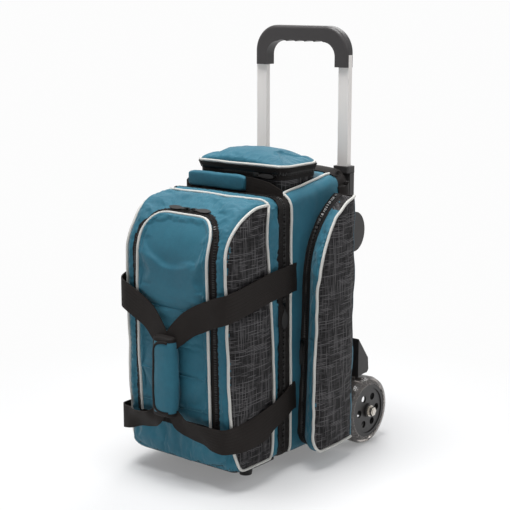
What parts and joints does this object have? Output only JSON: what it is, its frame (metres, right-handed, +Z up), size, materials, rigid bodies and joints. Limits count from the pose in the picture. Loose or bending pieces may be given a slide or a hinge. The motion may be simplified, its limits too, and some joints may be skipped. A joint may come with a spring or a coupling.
{
  "type": "bowling ball bag",
  "caption": "Upright wheeled bowling ball bag with padded zip compartments, side pockets, webbing carry straps and a telescopic pull handle.",
  "frame": {"origin": "on the floor, under the middle of the overall width and depth", "axes": "+X to the right of someone who faces the front panel, +Y towards the wheels and pull handle, +Z up"},
  "size_m": [0.3364, 0.4632, 0.771],
  "materials": {
    "teal_fabric": "satin woven polyester, padded",
    "hatch_fabric": "charcoal cloth with a woven crosshatch",
    "black_fabric": "black lining and zipper tape",
    "webbing": "black ribbed webbing",
    "foam": "closed foam with cloth face",
    "tube_metal": "satin anodised",
    "grip_plastic": "matt moulded",
    "black_plastic": "textured moulded",
    "clear_tyre": "smoke clear urethane",
    "hub_plastic": "moulded nylon",
    "steel": "zinc plated",
    "zip_metal": "black painted",
    "zip_pull": "black rubbery moulding"
  },
  "bodies": {
    "rear_body": {"rear_shell": "teal_fabric", "lower_ball_cup": "foam", "ball_shelf": "foam", "top_pocket_wall": "hatch_fabric", "left_pocket_frame": "black_fabric", "right_pocket_frame": "black_fabric", "left_handle_sleeve": "tube_metal", "right_handle_sleeve": "tube_metal", "sleeve_collars": "black_plastic", "back_board": "black_fabric", "back_cover": "black_fabric", "left_upper_guard": "black_plastic", "right_upper_guard": "black_plastic", "rear_chassis": "black_plastic", "left_wheel_fender": "black_plastic", "right_wheel_fender": "black_plastic", "axle": "steel", "axle_nuts": "steel", "axle_washers": "steel", "carry_patches": "webbing", "wrap_handle": "teal_fabric", "left_upper_strap": "webbing", "left_lower_strap": "webbing", "right_upper_strap": "webbing", "right_lower_strap": "webbing"},
    "front_section": {"front_shell": "teal_fabric", "front_partition": "black_fabric", "front_door_panel": "teal_fabric", "skid_plate": "black_plastic", "front_feet": "black_plastic"},
    "door_flap": {"front_door_flap": "teal_fabric"},
    "top_lid": {"top_pocket_lid": "teal_fabric"},
    "pull_handle": {"left_handle_tube": "tube_metal", "right_handle_tube": "tube_metal", "handle_grip": "grip_plastic"},
    "carry_handle": {"carry_webbing": "webbing", "carry_sleeve": "teal_fabric"},
    "left_pocket_door": {"left_pocket_gusset": "teal_fabric", "left_pocket_panel": "hatch_fabric"},
    "left_wheel": {"left_tyre": "clear_tyre", "left_wheel_hub": "hub_plastic"},
    "right_pocket_door": {"right_pocket_gusset": "teal_fabric", "right_pocket_panel": "hatch_fabric"},
    "right_wheel": {"right_tyre": "clear_tyre", "right_wheel_hub": "hub_plastic"},
    "left_main_zip": {"left_main_slider": "zip_metal"},
    "left_main_tab": {"left_main_pull": "zip_pull"},
    "left_pocket_zip": {"left_pocket_slider": "zip_metal"},
    "left_pocket_tab": {"left_pocket_pull": "zip_pull"},
    "right_main_zip": {"right_main_slider": "zip_metal"},
    "right_main_tab": {"right_main_pull": "zip_pull"},
    "right_pocket_zip": {"right_pocket_slider": "zip_metal"},
    "right_pocket_tab": {"right_pocket_pull": "zip_pull"},
    "left_door_zip": {"left_door_slider": "zip_metal"},
    "left_door_tab": {"left_door_pull": "zip_pull"},
    "right_door_zip": {"right_door_slider": "zip_metal"},
    "right_door_tab": {"right_door_pull": "zip_pull"},
    "lid_zip": {"lid_slider": "zip_metal"},
    "lid_tab": {"lid_pull": "zip_pull"}
  },
  "joints": [
    {"name": "front_section_hinge", "type": "hinge", "parent": "rear_body", "child": "front_section", "pos_m": [0, -0.0469, 0.026], "axis": [1, 0, 0], "range_deg": [0, 75], "deforming": ["left_upper_strap", "left_lower_strap", "right_upper_strap", "right_lower_strap", "wrap_handle"]},
    {"name": "door_flap_fold", "type": "hinge", "parent": "front_section", "child": "door_flap", "pos_m": [0, -0.20069, 0.345], "axis": [1, 0, 0], "range_deg": [0, 100]},
    {"name": "top_lid_hinge", "type": "hinge", "parent": "rear_body", "child": "top_lid", "pos_m": [0, 0.0831, 0.524], "axis": [-1, 0, 0], "range_deg": [0, 100]},
    {"name": "pull_handle_slide", "type": "slide", "parent": "rear_body", "child": "pull_handle", "axis": [0, 0, 1], "range_m": [-0.15, 0.225]},
    {"name": "carry_handle_fold", "type": "hinge", "parent": "rear_body", "child": "carry_handle", "pos_m": [0, -0.0379, 0.491], "axis": [1, 0, 0], "range_deg": [0, 30]},
    {"name": "left_pocket_hinge", "type": "hinge", "parent": "rear_body", "child": "left_pocket_door", "pos_m": [-0.1657, 0.0991, 0.2575], "axis": [0, 0, -1], "range_deg": [0, 95]},
    {"name": "left_wheel_spin", "type": "hinge", "parent": "rear_body", "child": "left_wheel", "pos_m": [-0.1395, 0.1681, 0.0635], "axis": [1, 0, 0], "continuous": true},
    {"name": "right_pocket_hinge", "type": "hinge", "parent": "rear_body", "child": "right_pocket_door", "pos_m": [0.1657, 0.0991, 0.2575], "axis": [0, 0, 1], "range_deg": [0, 95]},
    {"name": "right_wheel_spin", "type": "hinge", "parent": "rear_body", "child": "right_wheel", "pos_m": [0.1395, 0.1681, 0.0635], "axis": [1, 0, 0], "continuous": true},
    {"name": "left_main_zip_slide", "type": "slide", "parent": "rear_body", "child": "left_main_zip", "axis": [0, 0, 1], "range_m": [-0.2, 0.12]},
    {"name": "left_main_tab_hinge", "type": "hinge", "parent": "left_main_zip", "child": "left_main_tab", "pos_m": [-0.1213, -0.0469, 0.3], "axis": [0, 1, 0], "range_deg": [0, 90]},
    {"name": "left_pocket_zip_slide", "type": "slide", "parent": "rear_body", "child": "left_pocket_zip", "axis": [0, 0.0416, 0.9991], "range_m": [-0.02, 0.08]},
    {"name": "left_pocket_tab_hinge", "type": "hinge", "parent": "left_pocket_zip", "child": "left_pocket_tab", "pos_m": [-0.1243, -0.0014, 0.22514], "axis": [-1, 0, 0], "range_deg": [0, 90]},
    {"name": "right_main_zip_slide", "type": "slide", "parent": "rear_body", "child": "right_main_zip", "axis": [0, 0, 1], "range_m": [-0.2, 0.12]},
    {"name": "right_main_tab_hinge", "type": "hinge", "parent": "right_main_zip", "child": "right_main_tab", "pos_m": [0.1213, -0.0469, 0.3], "axis": [0, -1, 0], "range_deg": [0, 90]},
    {"name": "right_pocket_zip_slide", "type": "slide", "parent": "rear_body", "child": "right_pocket_zip", "axis": [0, 0.0416, 0.9991], "range_m": [-0.02, 0.08]},
    {"name": "right_pocket_tab_hinge", "type": "hinge", "parent": "right_pocket_zip", "child": "right_pocket_tab", "pos_m": [0.1243, -0.0014, 0.22514], "axis": [-1, 0, 0], "range_deg": [0, 90]},
    {"name": "left_door_zip_slide", "type": "slide", "parent": "front_section", "child": "left_door_zip", "axis": [1, 0, 0], "range_m": [-0.03, 0]},
    {"name": "left_door_tab_hinge", "type": "hinge", "parent": "left_door_zip", "child": "left_door_tab", "pos_m": [-0.0075, -0.15333, 0.47172], "axis": [0, 0.8252, 0.5648], "range_deg": [0, 90]},
    {"name": "right_door_zip_slide", "type": "slide", "parent": "front_section", "child": "right_door_zip", "axis": [-1, 0, 0], "range_m": [-0.03, 0]},
    {"name": "right_door_tab_hinge", "type": "hinge", "parent": "right_door_zip", "child": "right_door_tab", "pos_m": [0.0075, -0.15333, 0.47172], "axis": [0, -0.8252, -0.5648], "range_deg": [0, 90]},
    {"name": "lid_zip_slide", "type": "slide", "parent": "rear_body", "child": "lid_zip", "axis": [-1, 0, 0], "range_m": [-0.01, 0.1]},
    {"name": "lid_tab_hinge", "type": "hinge", "parent": "lid_zip", "child": "lid_tab", "pos_m": [0.04, -0.0252, 0.5189], "axis": [0, 0, -1], "range_deg": [0, 90]}
  ]
}
